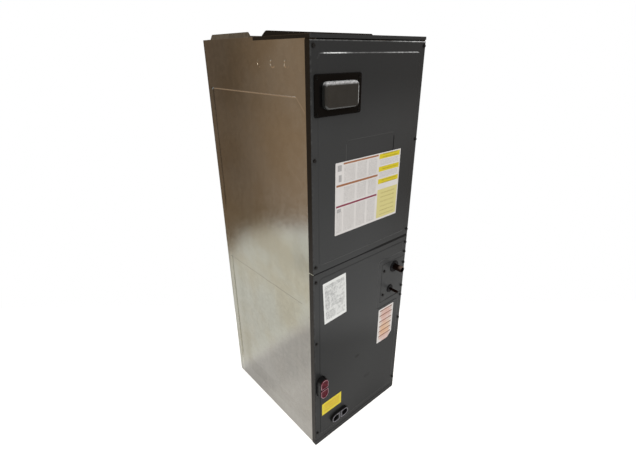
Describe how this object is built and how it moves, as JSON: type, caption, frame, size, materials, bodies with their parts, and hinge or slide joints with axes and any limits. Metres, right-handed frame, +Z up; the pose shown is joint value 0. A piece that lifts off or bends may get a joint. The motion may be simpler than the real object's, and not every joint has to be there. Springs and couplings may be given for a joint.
{
  "type": "air handler",
  "caption": "Upright floor-standing air handler: folded sheet-metal cabinet with lift-off front panels, a refrigerant A-coil with drain pans, and a scroll blower.",
  "frame": {"origin": "on the floor, below the middle of the whole outline, with the line stubs counted", "axes": "+X to the right seen from the front, +Y from the front to the back, +Z up"},
  "size_m": [0.4444, 0.5704, 1.3835],
  "materials": {
    "galvanised": "satin, zinc coated",
    "painted": "satin",
    "fastener": "dark zinc",
    "insulation": "matte",
    "cover": "satin",
    "boot": "smoky",
    "rubber": "matte",
    "copper": "dull",
    "brass": "machined",
    "pan": "satin",
    "plug": "satin",
    "fins": "finned",
    "wheel": "zinc coated",
    "shaft": "ground",
    "motor": "satin",
    "capacitor": "drawn",
    "board": "coated",
    "relay": "satin",
    "transformer": "varnished",
    "breaker": "satin",
    "handle": "satin"
  },
  "bodies": {
    "cabinet": {"left_side_panel": "galvanised", "right_side_panel": "galvanised", "back_panel": "galvanised", "supply_flange_left": "galvanised", "supply_flange_right": "galvanised", "supply_flange_back": "galvanised", "seam_rail": "galvanised", "pan_rails": "galvanised", "blower_deck": "galvanised", "blower_scroll": "galvanised", "blower_side_left": "galvanised", "blower_side_right": "galvanised", "control_box": "galvanised", "breaker_bracket": "galvanised", "tubing_bracket": "galvanised", "coil_end_plates": "galvanised", "coil_baffles": "galvanised", "coil_cap": "galvanised", "capacitor_strap": "galvanised", "base_pan": "galvanised", "motor_mount": "galvanised", "tubing_plate": "painted", "top_cap": "painted", "base_rail": "painted", "tubing_plate_screws": "fastener", "insulation_left": "insulation", "insulation_right": "insulation", "insulation_back": "insulation", "suction_grommet": "rubber", "liquid_grommet": "rubber", "suction_line": "copper", "suction_header": "copper", "liquid_line": "copper", "feeder_tubes": "copper", "return_bends_front": "copper", "return_bends_back": "copper", "metering_body": "brass", "drain_pan": "pan", "side_drain_pan": "pan", "drain_plugs": "plug", "coil_slab_left": "fins", "coil_slab_right": "fins", "motor": "motor", "capacitor": "capacitor", "control_board": "board", "board_relays": "relay", "transformer": "transformer", "circuit_breaker": "breaker"},
    "blower_rotor": {"blower_wheel": "wheel", "wheel_hub": "wheel", "motor_shaft": "shaft"},
    "upper_panel": {"upper_access_panel": "painted", "upper_panel_insulation": "insulation", "upper_panel_screws": "fastener", "breaker_cover": "cover", "breaker_boot": "boot"},
    "lower_panel": {"lower_access_panel": "painted", "lower_panel_insulation": "insulation", "lower_panel_screws": "fastener"},
    "breaker_toggle_body": {"breaker_handle": "handle"}
  },
  "joints": [
    {"name": "blower_spin", "type": "hinge", "parent": "cabinet", "child": "blower_rotor", "pos_m": [0, 0.0198, 1.11], "axis": [1, 0, 0], "continuous": true},
    {"name": "upper_panel_off", "type": "slide", "parent": "cabinet", "child": "upper_panel", "axis": [0, -1, 0], "range_m": [0, 0.25]},
    {"name": "lower_panel_off", "type": "slide", "parent": "cabinet", "child": "lower_panel", "axis": [0, -1, 0], "range_m": [0, 0.25]},
    {"name": "breaker_toggle", "type": "hinge", "parent": "cabinet", "child": "breaker_toggle_body", "pos_m": [-0.13025, -0.2322, 1.233], "axis": [0, 0, 1], "range_deg": [0, 40]}
  ]
}
